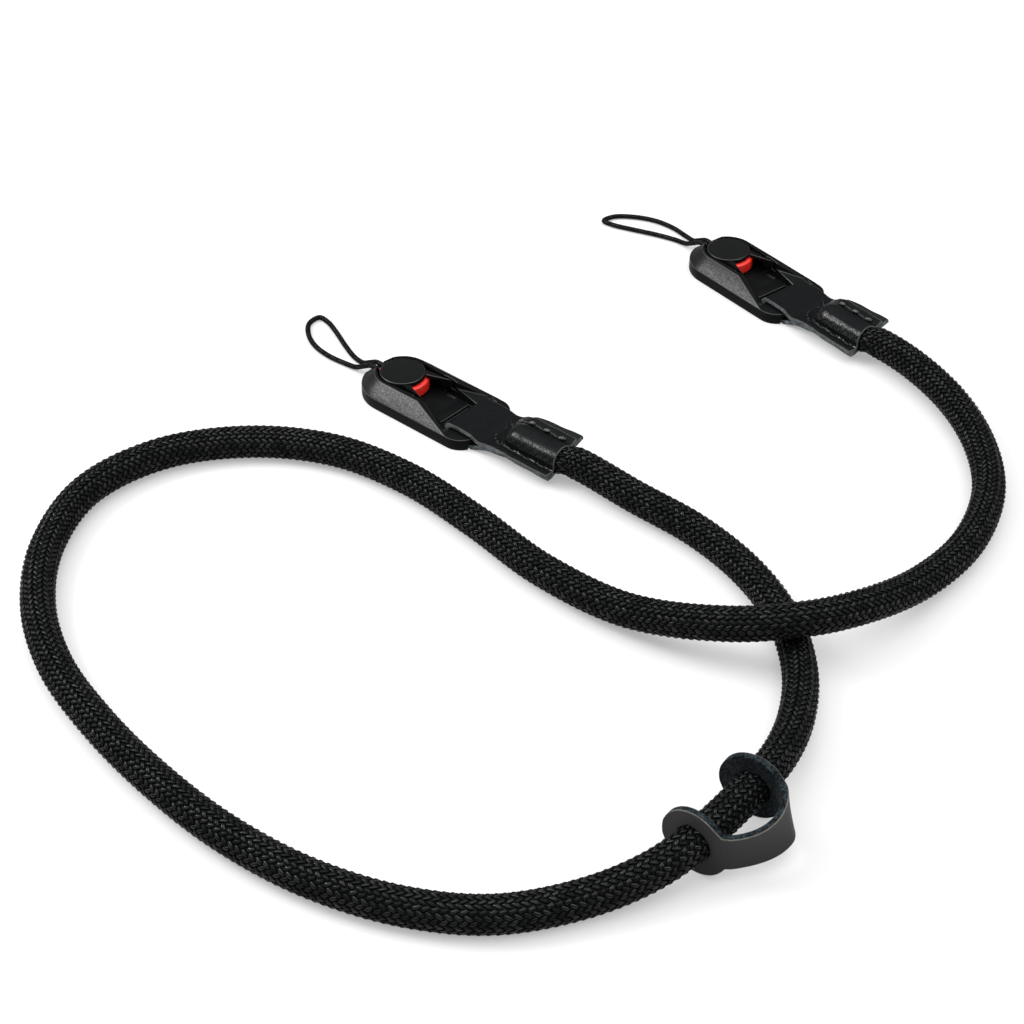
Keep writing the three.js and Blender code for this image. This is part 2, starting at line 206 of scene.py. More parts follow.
rope_squeeze = (0.50, 0.83, 1.0)     # at the sewn end, in the mouth and just outside it
just_outside = 0.0036
tab_shift = -0.0014                  # the sewn end lies a little to the near side
left_run, right_run = (along(headings[side]) for side in ("left", "right"))
sewn = {side: mouths[side] + tab_shift * aside(headings[side]) for side in mouths}
rope_points = [sewn["left"] - rope_in_tab * left_run, sewn["left"],
               mouths["left"] + just_outside * left_run, *rope_route[1:-1],
               mouths["right"] + just_outside * right_run, sewn["right"],
               sewn["right"] - rope_in_tab * right_run]
rope_core = cord_core("rope_core", rope_points, 0.44 * rope_diameter, rope_squeeze)


class Value:
    """A socket's value in a material, which takes arithmetic as Math nodes."""

    def __init__(self, finish, socket):
        self.finish = finish
        self.socket = socket

    def math(self, operation, *values):
        return self.finish.node("Math", {"operation": operation}, *values)

    def __add__(self, other):
        return self.math("ADD", self, other)

    def __sub__(self, other):
        return self.math("SUBTRACT", self, other)

    def __mul__(self, other):
        return self.math("MULTIPLY", self, other)

    def __rsub__(self, other):
        return self.math("SUBTRACT", other, self)

    __radd__ = __add__
    __rmul__ = __mul__


class Finish:
    """A material, with its constant values set on the shader's own sockets."""

    def __init__(self, name, **constants):
        self.material = bpy.data.materials.new(name)
        self.material.use_nodes = True
        self.tree = self.material.node_tree
        self.shader = self.tree.nodes["Principled BSDF"]
        self.shade(**constants)

    def shade(self, **values):
        self.give(self.shader, values)

    def give(self, node, values):
        """Fills sockets by name, where an underscore stands for a space."""
        for key, value in values.items():
            name = key.replace("_", " ")
            self.fill(next(s for s in node.inputs if s.enabled and s.name == name), value)

    def fill(self, socket, value):
        if isinstance(value, Value):
            self.tree.links.new(value.socket, socket)
        elif socket.type == "RGBA":
            socket.default_value = (*value, 1)
        else:
            socket.default_value = value

    def node(self, kind, settings=None, *inputs, output=None, **named):
        """A new node of that kind: its settings, then its sockets in order or by name."""
        node = self.tree.nodes.new("ShaderNode" + kind)
        for key, setting in (settings or {}).items():
            if key == "stops":
                for stop, (position, shade) in zip(node.color_ramp.elements, setting):
                    stop.position = position
                    stop.color = (shade, shade, shade, 1)
            else:
                setattr(node, key, setting)
        for socket, value in zip([s for s in node.inputs if s.enabled], inputs):
            self.fill(socket, value)
        self.give(node, named)
        shown = [s for s in node.outputs if s.enabled and output in (None, s.name)]
        return Value(self, shown[0])

    def object_place(self, scale=(1, 1, 1)):
        place = self.node("TexCoord", output="Object")
        return self.node("Mapping", {}, Vector=place, Scale=scale)

    def own_place(self, scale):
        """The place kept in the mesh, in the piece's own frame, times a scale."""
        place = self.node("Attribute", {"attribute_name": "own_place"}, output="Vector")
        factors = scale if isinstance(scale, tuple) else (scale, scale, scale)
        return self.node("Mapping", {}, Vector=place, Scale=factors)

    def axis(self, place, letter):
        return self.node("SeparateXYZ", {}, Vector=place, output=letter)

    def noise(self, place, scale, detail, **more):
        return self.node("TexNoise", {}, Vector=place, Scale=scale, Detail=detail, **more)

    def ramp(self, value, *stops):
        """Grey between two stops, each a position and a shade."""
        return self.node("ValToRGB", {"stops": stops}, value)

    def mix(self, share, first, second):
        """A colour between two colours."""
        return self.node("Mix", {"data_type": "RGBA"}, share, first, second)

    def bump(self, height, distance, strength=1.0):
        normal = self.node("Bump", {}, Strength=strength, Distance=distance, Height=height)
        self.shade(Normal=normal)


def times(shade, factor):
    return [channel * factor for channel in shade]


def nylon_yarn(name, shade):
    """Black nylon. Two yarns lie side by side in each float, with a groove between them and
    filaments along them. The crests shine, on some floats more than on others. The colour
    is painted lighter on the crests and darker down the sides and dips, as painted shade."""
    finish = Finish(name, Specular_IOR_Level=0.02, Coat_Roughness=0.20)
    place = finish.own_place(1)
    across = finish.axis(place, "Y")
    crest_and_painted_shade = finish.ramp(finish.axis(place, "X"), (0.25, 0), (0.80, 1))
    groove = finish.ramp(across * across, (0.0, 1), (0.06, 0))
    filaments = finish.noise(finish.own_place((5, 6, 1.2)), 1.0, 2.0)
    each = finish.node("Attribute", {"attribute_name": "own_tone"}, output="Fac")
    light = filaments * 0.6 + each * 0.4
    shine = crest_and_painted_shade * (1 - 0.7 * groove) * finish.ramp(light, (0.30, 0.15), (0.70, 1))
    # Painted shade: each float's colour is darker down its sides and ends, lighter on its crest.
    finish.shade(Base_Color=finish.mix(light * crest_and_painted_shade, times(shade, 0.8), times(shade, 2.1)),
                 Roughness=0.30 + 0.3 * filaments, Coat_Weight=0.56 * shine)
    finish.bump(0.3 * filaments - 0.6 * groove, 0.00014, 0.7)
    return finish.material


core_filling = Finish("dark_filling", Base_Color=(0.003, 0.003, 0.003), Roughness=0.9).material


def braid_over(core, bare_end, name, nylon, slot, **lay):
    """Both lays of a braided cover over a core, which stands in for the node of that name.
    The cover leaves a little of the core bare at each end."""
    stop = core.data.splines[0].calc_length() - bare_end
    yarns = [braid_yarns(f"{name}_yarns_{side}_lay", core, hand=hand, start=bare_end,
                         stop=stop, **lay)
             for side, hand in (("right", 1), ("left", -1))]
    cover(core, core_filling)
    for piece in yarns:
        cover(piece, nylon)
    for piece in (core, *yarns):
        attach(piece, "root")
    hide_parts(name)
    return yarns


rope_yarns = braid_over(rope_core, rope_in_tab - cover_in_tab, "rope",
                        nylon_yarn("black_nylon_yarn", (0.0025, 0.0028, 0.0030)), "rope_braid",
                        radius=0.514 * rope_diameter, ribs=10, turn=0.0454, sides=6, rings=4)


# ---- Tethers ------------------------------------------------------------------------
# A thin braided cord loop on each anchor disc, which ties the connector to a camera's
# lug. Both its ends go into the rim of the disc, and it lies flat in a long narrow loop.

tether_diameter = 0.0018
tether_low = tether_diameter / 2 + 0.0001
tether_half = ((-0.0078, 0.0013, 0.0047), (-0.0130, 0.00135, 0.0049),
               (-0.0165, 0.0015, 0.0032), (-0.0200, 0.0017, 0.0014),
               (-0.0250, 0.0024, tether_low), (-0.0320, 0.0040, tether_low),
               (-0.0400, 0.0052, tether_low), (-0.0470, 0.0046, tether_low),
               (-0.0510, 0.0023, tether_low))
sway_start, sway_reach = 0.020, 0.020
tether_bend = {"left": 0.004, "right": -0.005}     # how far the loop has swayed at that reach


def connector_frame(side):
    """A connector's own frame: x from the anchor disc's axis to the rope, z up."""
    low, high = (Vector(corner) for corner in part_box(f"{side}_anchor_cap"))
    axis = (low + high) / 2
    place = Matrix.Translation((axis.x, axis.y, 0))
    return place @ Matrix.Rotation(headings[side], 4, "Z")


connector_frames = {side: connector_frame(side) for side in mouths}
tether_nylon = nylon_yarn("black_tether_yarn", (0.0026, 0.0027, 0.0029))
for side, frame_of_side in connector_frames.items():
    there = []
    back = []
    for x, y, z in tether_half:
        sway = tether_bend[side] * (max(-x - sway_start, 0) / sway_reach) ** 2
        there.append(frame_of_side @ Vector((x, y + sway, z)))
        back.append(frame_of_side @ Vector((x, -y + sway, z)))
    tether_points = [*there, *reversed(back)]
    tether_core = cord_core(f"{side}_tether_core", tether_points, 0.42 * tether_diameter)
    tether_yarns = braid_over(tether_core, 0.0003, f"{side}_tether", tether_nylon,
                              "tether_cord", radius=tether_diameter / 2, ribs=4,
                              turn=0.0062, sides=6, rings=5)


# ---- Housings -----------------------------------------------------------------------
# The quick-release housings, moulded in black plastic: a half-round end with a pocket for
# the anchor disc, an open channel down to a springy tongue, and a bar for the leather.

housing_width = 0.027
housing_end = 0.0385
housing_height = 0.0078
band_height = 0.0039
top_inset = 0.0044
end_corner = 0.0066
crest_end = 0.015
crest_foot = 0.031
floor_top = 0.0020
ledge_top = 0.0009
lip_underside = 0.0065
pocket_radius = 0.0092
cap_hole_radius = 0.00785
entry_half = 0.0088               # half width of the way from the pocket into the channel
channel_knee = 0.0049             # height where the channel's walls turn outwards
channel_end = 0.029
channel_wide = 0.0119
channel_stations = {              # x: half width of the foot and of the upper edge
    0.0049: (0.0060, 0.0031), 0.0069: (0.0068, 0.0038), 0.0150: (0.0076, 0.00677),
    channel_end: (0.0076, channel_wide)}
tongue_half = 0.0070
tongue_end = 0.0232
tongue_corner = 0.0016
tongue_root = 0.0120
slot_narrow = 0.0074
slot_start = 0.0250
slot_step = 0.0267
slot_wide = 0.0099
bar_underside = 0.0020
notch_half = 0.0040
notch_sill = 0.0034
notch_inner = -0.0060
pad_low, pad_high = (0.0142, 0.0060, 0.0018), (0.0174, 0.0071, 0.0023)
clear = 0.020                     # how far cutters reach past the housing
overlap = 0.001                   # how far cutters reach into one another


def settle(piece):
    """Moves a new piece's place, turn and scale into its mesh."""
    activate(piece)
    bpy.ops.object.transform_apply(location=True, rotation=True, scale=True)
    return piece


def block(low, high):
    """A box between two corners."""
    size = [b - a for a, b in zip(low, high)]
    middle = [(a + b) / 2 for a, b in zip(low, high)]
    bpy.ops.mesh.primitive_cube_add(size=1, location=middle, scale=size)
    return settle(bpy.context.object)


def disc(radius, bottom, top, sides=96):
    """A round disc or plug on the z axis."""
    bpy.ops.mesh.primitive_cylinder_add(vertices=sides, radius=radius, depth=top - bottom,
                                        location=(0, 0, (bottom + top) / 2))
    return settle(bpy.context.object)


def edit(piece):
    """Opens one piece in edit mode with all of it selected."""
    activate(piece)
    bpy.ops.object.mode_set(mode="EDIT")
    bpy.ops.mesh.select_all(action="SELECT")


def done():
    bpy.ops.object.mode_set(mode="OBJECT")


def pick(piece, kind, test):
    """In edit mode, selects the vertices, edges or faces that pass the test, and only those."""
    bpy.ops.mesh.select_mode(type=kind)
    bpy.ops.mesh.select_all(action="DESELECT")
    mesh = bmesh.from_edit_mesh(piece.data)
    mesh.normal_update()
    for part in {"VERT": mesh.verts, "EDGE": mesh.edges, "FACE": mesh.faces}[kind]:
        if test(part):
            part.select_set(True)
    mesh.select_flush_mode()
    bmesh.update_edit_mesh(piece.data)


def near(value, target):
    return abs(value - target) < 1e-5


def carve(piece, cutter, operation="DIFFERENCE"):
    """Cuts one solid out of another, or joins them, and uses the cutter up."""
    modifier = piece.modifiers.new("carve", "BOOLEAN")
    modifier.operation = operation
    modifier.solver = "EXACT"
    modifier.object = cutter
    apply_modifiers(piece)
    bpy.data.objects.remove(cutter)


def ease_edges(piece, width, sharper_than, smooth_below):
    """Rounds every edge that is sharper than one angle, which takes the last material, and
    shades the edges below the other angle smooth."""
    bevel = piece.modifiers.new("eased_edges", "BEVEL")
    bevel.width = width
    bevel.segments = 2
    bevel.limit_method = "ANGLE"
    bevel.angle_limit = sharper_than
    bevel.use_clamp_overlap = False
    bevel.material = len(piece.data.materials) - 1
    apply_modifiers(piece)
    bpy.ops.object.shade_smooth_by_angle(angle=smooth_below)


def round_corners(piece, x, radius, segments):
    """In edit mode, rounds a piece's upright corners at that x."""
    pick(piece, "EDGE", lambda edge: all(near(v.co.x, x) for v in edge.verts)
         and near(edge.verts[0].co.y, edge.verts[1].co.y))
    bpy.ops.mesh.bevel(offset=radius, segments=segments, affect="EDGES")


def twin(model):
    """A copy of a piece, with a mesh of its own."""
    copy = model.copy()
    copy.data = model.data.copy()
    bpy.context.scene.collection.objects.link(copy)
    return copy


def housing_body():
    body = disc(housing_width / 2, 0, band_height)
    edit(body)
    bpy.ops.mesh.bisect(plane_co=(0, 0, 0), plane_no=(1, 0, 0), clear_outer=True,
                        use_fill=True)
    pick(body, "FACE", lambda face: face.normal.x > 0.9 and near(face.calc_center_median().x, 0))
    bpy.ops.mesh.extrude_region_move(TRANSFORM_OT_translate={"value": (housing_end, 0, 0)})
    bpy.ops.mesh.select_all(action="SELECT")
    bpy.ops.mesh.dissolve_limited(angle_limit=0.002)
    round_corners(body, housing_end, end_corner, 14)
    pick(body, "FACE", lambda face: face.normal.z > 0.9)
    bpy.ops.mesh.inset(thickness=top_inset, depth=housing_height - band_height)
    done()
    return body


def crest_cutter():
    """What lies above the falling top and above the low end."""
    cutter = block((crest_end, -clear, band_height), (housing_end + clear, clear, clear))
    edit(cutter)
    bpy.ops.mesh.bisect(plane_co=(crest_foot, 0, 0), plane_no=(1, 0, 0))
    pick(cutter, "VERT", lambda v: near(v.co.x, crest_end) and near(v.co.z, band_height))
    bpy.ops.transform.translate(value=(0, 0, housing_height - band_height))
    done()
    return cutter


def channel_cutter():
    """The open channel, undercut near the disc and flared towards the leather."""
    stations = sorted(channel_stations)
    unit = 0.001
    cutter = block((stations[0], -unit, floor_top), (stations[-1], unit, clear))
    edit(cutter)
    for x in stations[1:-1]:
        bpy.ops.mesh.select_all(action="SELECT")
        bpy.ops.mesh.bisect(plane_co=(x, 0, 0), plane_no=(1, 0, 0))
    bpy.ops.mesh.select_all(action="SELECT")
    bpy.ops.mesh.bisect(plane_co=(0, 0, channel_knee), plane_no=(0, 0, 1))
    for x, (foot, top) in channel_stations.items():
        pick(cutter, "VERT", lambda v: near(v.co.x, x) and near(v.co.z, floor_top))
        bpy.ops.transform.resize(value=(1, foot / unit, 1), center_override=(0, 0, 0))
        pick(cutter, "VERT", lambda v: near(v.co.x, x) and v.co.z > channel_knee - 1e-5)
        bpy.ops.transform.resize(value=(1, top / unit, 1), center_override=(0, 0, 0))
    done()
    return cutter


def tongue_gap_cutter():
    """The narrow gap round three sides of the tongue, with the tongue's round corners."""
    foot_half = channel_stations[channel_end][0]
    gap = block((tongue_root, -foot_half, ledge_top), (slot_start + overlap, foot_half, clear))
    tongue = block((tongue_root - overlap, -tongue_half, 0),
                   (tongue_end, tongue_half, 2 * clear))
    edit(tongue)
    round_corners(tongue, tongue_end, tongue_corner, 8)
    done()
    carve(gap, tongue)
    return gap


housing = housing_body()
for cutter in (
        crest_cutter(),
        disc(pocket_radius, floor_top, lip_underside),
        disc(cap_hole_radius, floor_top, clear),
        block((0, -entry_half, floor_top), (tongue_root, entry_half, lip_underside)),
        channel_cutter(),
        block((channel_end - 0.1 * overlap, -channel_wide, band_height),
              (crest_foot + overlap, channel_wide, clear)),
        tongue_gap_cutter(),
        block((slot_start, -slot_narrow, -clear), (channel_end, slot_narrow, clear)),
        block((slot_step, -slot_wide, -clear), (channel_end, slot_wide, clear)),
        block((channel_end - overlap, -slot_wide, -clear),
              (housing_end + overlap, slot_wide, bar_underside)),
        block((-clear, -notch_half, notch_sill), (notch_inner, notch_half, clear))):
    carve(housing, cutter)
for way in (-1, 1):
    pad_y = sorted((way * pad_low[1], way * pad_high[1]))
    carve(housing, block((pad_low[0], pad_y[0], pad_low[2]), (pad_high[0], pad_y[1], pad_high[2])),
          "UNION")


def moulded_black(name, shade, grain, roughness, gloss):
    """Black plastic from a spark-eroded mould: a fine even grain, and a few rubbed streaks."""
    finish = Finish(name, Specular_IOR_Level=gloss)
    place = finish.own_place(1000)
    fine = finish.noise(place, grain, 3.0)
    cloud = finish.noise(place, 0.35, 2.0)
    streaks = finish.noise(finish.own_place((90, 900, 900)), 1.0, 2.0)
    rubbed = finish.ramp(streaks, (0.70, 0), (0.78, 1))
    finish.shade(Base_Color=finish.mix(fine * 0.7 + cloud * 0.3, times(shade, 0.7),
                                       times(shade, 1.35)),
                 Roughness=roughness + 0.10 * fine + 0.06 * cloud - 0.10 * rubbed)
    finish.bump(fine, 0.00012, 0.6)
    return finish.material


def fit_both(model, name, node):
    """Puts a copy of the model on each connector, in place of the plain node. Patterns lie
    along the connector, unless the model has places of its own."""
    if "own_place" not in model.data.attributes:
        keep_places(model, [vertex.co[:] for vertex in model.data.vertices])
    for side, frame_of_side in connector_frames.items():
        copy = twin(model)
        copy.name = copy.data.name = f"{side}_{name}"
        copy.data.transform(frame_of_side)
        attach(copy, "root")
        if node:
            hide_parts(f"{side}_{node}")
    bpy.data.objects.remove(model)


def facet_plastic():
    """The sloping sides: the same plastic with a satin shine, speckled by its grain, and
    rubbed in thin lines. The shine wears off round the end with the disc."""
    finish = Finish("facet_plastic", Specular_IOR_Level=0.08, Coat_Roughness=0.30)
    place = finish.own_place(1000)
    shine = finish.ramp(finish.axis(place, "X") * 0.02 + 0.5, (0.30, 0.10), (0.46, 1))
    fine = finish.ramp(finish.noise(place, 2.3, 2.0), (0.40, 0), (0.62, 1))
    specks = finish.ramp(finish.noise(place, 1.7, 3.0), (0.60, 0), (0.70, 1))
    scratches = finish.noise(finish.own_place((120, 1500, 900)), 1.0, 1.0)
    streaks = finish.ramp(scratches, (0.66, 0), (0.74, 1))
    finish.shade(Base_Color=finish.mix(fine, (0.0035, 0.0036, 0.0038), (0.0080, 0.0080, 0.0084)),
                 Roughness=0.45 + 0.15 * fine,
                 Coat_Weight=shine * (0.17 + 0.34 * fine + 0.35 * specks + 0.20 * streaks))
    return finish.material


def edge_highlight_finish():
    """Plastic on the moulding's eased edges: shinier than the rest, and paler in colour,
    which paints a highlight along every edge.
    """
    finish = Finish("plastic_edge_highlight", Specular_IOR_Level=0.45)
    edge_patches = finish.noise(finish.own_place(1000), 0.5, 3.0)
    finish.shade(Base_Color=finish.mix(edge_patches, (0.0050, 0.0052, 0.0054), (0.016, 0.0165, 0.017)),
                 Roughness=0.48 - 0.24 * edge_patches)
    return finish.material


# The eased edges of housing and cap take this paler colour: a painted highlight.
edge_highlight_plastic = edge_highlight_finish()
cover(housing, moulded_black("housing_plastic", (0.0026, 0.0029, 0.0031), 4.0, 0.42, 0.045),
      facet_plastic(), edge_highlight_plastic)
edit(housing)
bpy.ops.mesh.remove_doubles(threshold=1e-6)
bpy.ops.mesh.dissolve_limited(angle_limit=0.002)
done()
ease_edges(housing, 0.00020, sharper_than=0.6, smooth_below=0.5)
facet_lean = math.cos(math.atan2(housing_height - band_height, top_inset))
for face in housing.data.polygons:
    if (face.material_index == 0 and abs(face.normal.z - facet_lean) < 0.02
            and face.center.z > band_height):
        face.material_index = 1
fit_both(housing, "moulded_housing", "housing")


# ---- Anchor discs -------------------------------------------------------------------
# The disc that clicks into each housing: a red moulded body with two holes in its rim for
# the tether, and a black cap pressed onto it, which stands just proud of the housing.

anchor_radius = 0.0089
anchor_bottom = 0.0023
anchor_top = 0.0062
anchor_edge = 0.0006
cap_radius = 0.0075
cap_bottom = 0.00645
cap_top = 0.0081
cap_edge = 0.00040
collar = 0.0019                   # from the red rim to the neck under the cap
tether_hole = {"radius": 0.00102, "depth": 0.004}
tether_hole_x = -0.0082


def ease_rim(piece, width, test):
    edit(piece)
    pick(piece, "EDGE", test)
    bpy.ops.mesh.bevel(offset=width, segments=4, affect="EDGES")
    done()


anchor = disc(anchor_radius, anchor_bottom, anchor_top)
ease_rim(anchor, anchor_edge, lambda edge: near(edge.verts[0].co.z, edge.verts[1].co.z))
edit(anchor)
pick(anchor, "FACE", lambda face: face.normal.z > 0.99)
bpy.ops.mesh.inset(thickness=collar, depth=0)
bpy.ops.mesh.extrude_region_move(TRANSFORM_OT_translate={"value": (0, 0, cap_bottom - anchor_top)})
done()
for way in (-1, 1):
    _, hole_y, hole_z = tether_half[0]
    bpy.ops.mesh.primitive_cylinder_add(
        vertices=32, location=(tether_hole_x, way * hole_y, hole_z),
        rotation=(0, math.pi / 2, 0), **tether_hole)
    carve(anchor, settle(bpy.context.object))
activate(anchor)
bpy.ops.object.shade_smooth_by_angle(angle=0.5)

cap = disc(cap_radius, cap_bottom, cap_top)
ease_rim(cap, cap_edge, lambda edge: all(near(v.co.z, cap_top) for v in edge.verts))
edit(cap)
pick(cap, "FACE", lambda face: face.normal.z > 0.99)
bpy.ops.mesh.inset(thickness=0.0003, depth=-0.00004)
done()
activate(cap)
bpy.ops.object.shade_smooth_by_angle(angle=0.35)

red = Finish("anchor_red", Specular_IOR_Level=0.5, Coat_Roughness=0.3)
red_cloud = red.noise(red.own_place(1000), 1.2, 3.0)
red.shade(Base_Color=red.mix(red_cloud, (0.60, 0.014, 0.010), (0.78, 0.030, 0.020)),
          Roughness=0.28 + 0.16 * red_cloud)
red.bump(red_cloud, 0.00003, 0.4)
cover(anchor, red.material)
fit_both(anchor, "red_anchor", "anchor_disc")
cover(cap, moulded_black("cap_plastic", (0.0038, 0.0042, 0.0042), 5.0, 0.38, 0.06),
      edge_highlight_plastic)
# The cap's rim takes the paler edge plastic, a painted highlight.
for face in cap.data.polygons:
    if 0.2 < face.normal.z < 0.96:
        face.material_index = 1
fit_both(cap, "black_cap", "anchor_cap")


# ---- Leather tabs -------------------------------------------------------------------
# One strip of black leather for each end of the rope. It runs from the rope under the
# housing's bar, up through the slot and back over the bar, and is sewn round the rope. x
# runs from the anchor disc's axis to the rope, and y to the far side.

leather = 0.0017
tab_end = 0.070                   # x of both the strip's ends, at the mouth
strap_half = 0.0092
fold_corner = 0.0026              # outside radius of the leather's turns in the slot
fold_x = 0.0296
fold_start = 0.0300               # x where the fold begins
strap_top = 0.0059
fold_heights = (fold_corner, strap_top - fold_corner)
drop_start, drop_end = 0.0374, 0.0426
far_drop = 0.0052                 # how much later the far side of the upper layer comes down
rise_start, rise_end = 0.0390, 0.0525
lean_start, lean_end = 0.040, 0.056
swell_start, swell_end = 0.0430, 0.0515
pad_half = 0.0079                 # half width of the sewn pad at the mouth
wider_far, wider_near = 0.0021, 0.0005     # how far the lower layer stands out beyond it
swell_half = 0.0050               # half width of the leather over the rope's end
swell_height = 0.0045             # its height there, where the rope is pressed flat
mouth_height = 0.0050             # its height in the mouth
seam_row = 0.0053                 # from the middle of the tab to each row of stitches
seam_centre = 0.0478              # x of the middle of the seam's round end
seam_groove = 0.00110             # height left of each layer under the stitches
flange_height = 0.00145
seam_foot = 0.0013                # from the seam to where the leather has risen or flattened
stitch_pitch = 0.0062
first_knot = 0.0658               # x of the knot nearest the mouth
pucker_pitch = 0.00295
far_rise = -0.20                  # how steeply the far flange turns up outside the seam
near_rise = 0.45
tab_lean = math.radians(30)       # how far the pad leans over to its near side
pared_wall = 0.0006               # the leather's wall in the mouth


def smooth(value, start, stop):
    share = np.clip((value - start) / (stop - start), 0, 1)
    return share * share * (3 - 2 * share)


def seam_stitches():
    """The stitches round the U of the seam: middle, turn, length, radius, how far each is
    sunk, and its thread, 0 for the waxed grey knots and 1 for a darker copy of the same
    thread, painted shade, on the runs between, the near row and the round end."""
    rows = []
    for i in range(4):
        x = first_knot - i * stitch_pitch
        rows.append((x, seam_row + 0.0003, 0.3, 0.0019, 0.00055, -0.0001, 0))
        rows.append((x - stitch_pitch / 2, seam_row + 0.0002, -0.1, 0.0036, 0.00034, 0.0002, 1))
        rows.append((x - 0.0006, -seam_row, 0.0, 0.0022, 0.00034, 0.0006, 1))
    bends = 7
    for i in range(bends):
        angle = math.pi / 2 + math.pi * (i + 0.5) / bends
        rows.append((seam_centre + seam_row * math.cos(angle),
                     seam_row * math.sin(angle), angle + math.pi / 2, 0.0008, 0.00032, 0.0, 1))
    return rows


def inside_seam(x, y):
    """How far a point lies inside the U of the seam, and below zero outside it."""
    return seam_row - np.hypot(np.minimum(x - seam_centre, 0), y)


def layer_height(x, y):
    """Height of the outer face of either layer above the plane where the two layers meet."""
    inside = inside_seam(x, y)
    crown = swell_height + (mouth_height - swell_height) * smooth(x, 0.060, tab_end)
    over_rope = crown * np.sqrt(np.maximum(1 - (y / swell_half) ** 2, 0))
    bulge = smooth(x, swell_start, swell_end) * smooth(inside, 0, seam_foot)
    sewn_down = smooth(x, seam_centre - seam_row - 0.0014, seam_centre - seam_row + 0.0016)
    groove = flange_height + (seam_groove - flange_height) * sewn_down
    height = groove + np.maximum(over_rope - groove, 0) * bulge
    height = height + (flange_height - groove) * smooth(-inside, 0.0002, seam_foot)
    at_foot = np.exp(-((inside - seam_foot) / 0.0008) ** 2) * smooth(x, 0.046, 0.050)
    puckers = np.cos((x - first_knot + 0.0006) * 2 * math.pi / pucker_pitch)
    puckers = puckers + 0.9 * np.sin(x * 4700 + 900 * y)
    height = height + np.where(y < 0, 0.00022, 0.00008) * puckers * at_foot
    for hole_x, hole_y, *_, thread in seam_stitches():
        if thread == 0 or hole_y == -seam_row:
            away = ((x - hole_x) / 0.0011) ** 2 + ((y - hole_y) / 0.0007) ** 2
            height = height - 0.00065 * np.exp(-away)
    return np.maximum(height, 0.0003)


def layer_plane(x, y):
    """Height of the plane where the layers meet, which rises to the middle of the rope."""
    rise = 0.5 * smooth(x, rise_start, rise_end)
    rise = rise + 0.5 * np.clip((x - rise_start) / (rise_end - rise_start), 0, 1)
    turned_up = np.where(y > 0, far_rise, near_rise) * np.maximum(-inside_seam(x, y), 0)
    return leather + rise * (tab_bore_height - leather + turned_up)


def lean(x, y, z):
    """Where a point of the pad lies once the pad has leaned over about the rope's end."""
    angle = tab_lean * smooth(x, lean_start, lean_end)
    pivot = layer_plane(x, 0)
    up = z - pivot
    return (y * np.cos(angle) - up * np.sin(angle) + tab_shift * smooth(x, 0.044, 0.052),
            pivot + y * np.sin(angle) + up * np.cos(angle))


def strip_stations():
    """x, height and layer (-1 below, 0 in the fold, 1 above) along the strip's outer face,
    from the mouth round the bar and back."""
    runs = np.linspace(tab_end, fold_start, 121)
    stations = [(x, 0.0, -1) for x in runs]
    for corner, height in enumerate(fold_heights):
        for step in range(9):
            angle = -math.pi / 2 * (1 + corner + step / 8)
            stations.append((fold_x + fold_corner * math.cos(angle),
                             height + fold_corner * math.sin(angle), 0))
    return stations + [(x, strap_top, 1) for x in runs[::-1]]


def fold_strip(strip, columns):
    """Lays a flat grid of points along the strip's way. Returns the wall at each point, and
    its place on the strip, with how far it is drawn round the rope or rubbed at the rim."""
    stations = np.array(strip_stations())
    row, column = np.divmod(np.arange(len(strip.data.vertices)), columns)
    x, path_height, layer = stations[row].T
    share = 1 - 2 * column / (columns - 1)
    beyond = 0.4 * smooth(x, 0.044, 0.054) + 0.6 * np.clip((x - 0.048) / (tab_end - 0.048), 0, 1)
    half = strap_half + (pad_half - strap_half) * smooth(x, 0.042, 0.054)
    half = half + np.where(share > 0, wider_far, wider_near) * beyond * (layer < 0)
    waver = 0.00008 * np.sin(x * 700 + 1.3 * layer) * np.abs(share) ** 6
    y = share * (half + waver)
    height = layer_height(x, y)
    plane = layer_plane(x, y)
    drop = smooth(x, drop_start, drop_end + far_drop * (1 + share) / 2)
    above = path_height + (plane + height - path_height) * drop
    below = (plane - height) * (x > rise_start)
    z = np.select([layer < 0, layer > 0], [np.maximum(below, 0.0), above], path_height)
    z = z + 0.00006 * np.sin(x * 900 + 2) * np.abs(share) ** 4 * (layer > 0)
    placed = np.stack([x, *lean(x, y, z)], axis=1)
    strip.data.vertices.foreach_set("co", placed.ravel())
    strip.data.update()
    pared = leather - (leather - pared_wall) * smooth(x, 0.058, 0.067) * (inside_seam(x, y) > 0)
    wall = np.minimum(pared, np.where(layer == 0, leather, height - 0.00006))
    steps = np.diff(stations[:, :2], axis=0, prepend=stations[:1, :2])
    lengths = np.cumsum(np.hypot(*steps.T))
    drawn_round = smooth(inside_seam(x, y), -0.0002, 0.0006) * smooth(x, 0.0435, 0.0480)
    rubbed_rim = (np.abs(share) > 0.99) & (x > 0.045)
    return wall, np.stack([lengths[row], y, 0.001 * (drawn_round - rubbed_rim)], axis=1)


